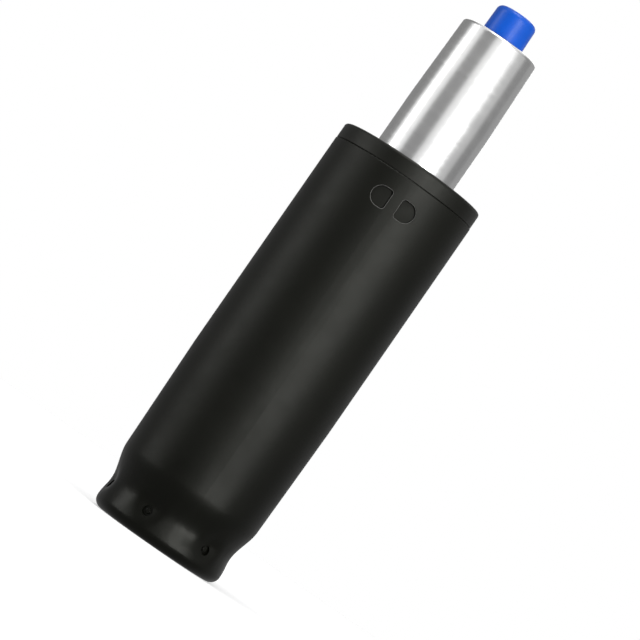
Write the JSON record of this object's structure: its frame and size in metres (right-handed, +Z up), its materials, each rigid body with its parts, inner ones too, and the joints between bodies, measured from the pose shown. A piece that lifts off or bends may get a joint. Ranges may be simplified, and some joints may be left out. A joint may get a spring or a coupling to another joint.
{
  "type": "chair gas lift cylinder",
  "caption": "Chair gas lift: bright pressure tube with a release button, sliding in a black stand tube with a tapered, staked foot.",
  "frame": {"origin": "centre of the foot's lower face, on the lift's axis", "axes": "+Z up along the lift's axis, from the foot to the button; -Y to the front, where one pair of snap windows faces; +X to the right"},
  "size_m": [0.05, 0.05, 0.1975],
  "materials": {
    "black_coated_steel": "satin black coating",
    "black_plastic": "moulded, fine grain",
    "satin_plated_tube": "satin plated steel, turned",
    "blue_plastic": "moulded, semi-gloss",
    "plain_steel": "oiled, bright",
    "bearing_steel": "ground",
    "chromed_rod": "hard chrome",
    "cage_brass": "pressed",
    "cast_aluminium": "turned casting",
    "black_rubber": "moulded"
  },
  "bodies": {
    "stand": {"stand_tube": "black_coated_steel", "guide_bush": "black_plastic", "base_plate": "plain_steel", "bearing_lower_race": "bearing_steel"},
    "cage": {"bearing_cage": "cage_brass", "bearing_balls": "bearing_steel"},
    "rod": {"piston_rod": "chromed_rod", "bearing_upper_race": "bearing_steel", "thrust_washer": "plain_steel", "stop_buffer": "black_rubber", "retaining_washer": "plain_steel", "retaining_clip": "plain_steel", "piston": "cast_aluminium", "piston_seal": "black_rubber", "piston_washer": "plain_steel", "piston_nut": "plain_steel"},
    "lift": {"pressure_tube": "satin_plated_tube", "inner_tube": "plain_steel", "end_washer": "plain_steel", "rod_seal": "black_rubber", "rod_guide": "cast_aluminium", "rod_guide_ring": "black_rubber", "valve_body": "cast_aluminium", "valve_rings": "black_rubber", "pin_seals": "black_rubber", "head_ring": "plain_steel"},
    "release": {"release_pin": "chromed_rod", "release_button": "blue_plastic"}
  },
  "joints": [
    {"name": "seat_swivel", "type": "hinge", "parent": "stand", "child": "rod", "pos_m": [0, 0, 0.01025], "axis": [0, 0, 1], "continuous": true},
    {"name": "cage_spin", "type": "hinge", "parent": "stand", "child": "cage", "pos_m": [0, 0, 0.01025], "axis": [0, 0, 1], "continuous": true},
    {"name": "lift_slide", "type": "slide", "parent": "rod", "child": "lift", "axis": [0, 0, 1], "range_m": [0, 0.065]},
    {"name": "button_press", "type": "slide", "parent": "lift", "child": "release", "axis": [0, 0, -1], "range_m": [0, 0.003], "stiffness_N_per_m": 8000, "springref_m": -0.002}
  ],
  "couplings": [
    {"joint": "cage_spin", "follows": "seat_swivel", "ratio": 0.5}
  ]
}
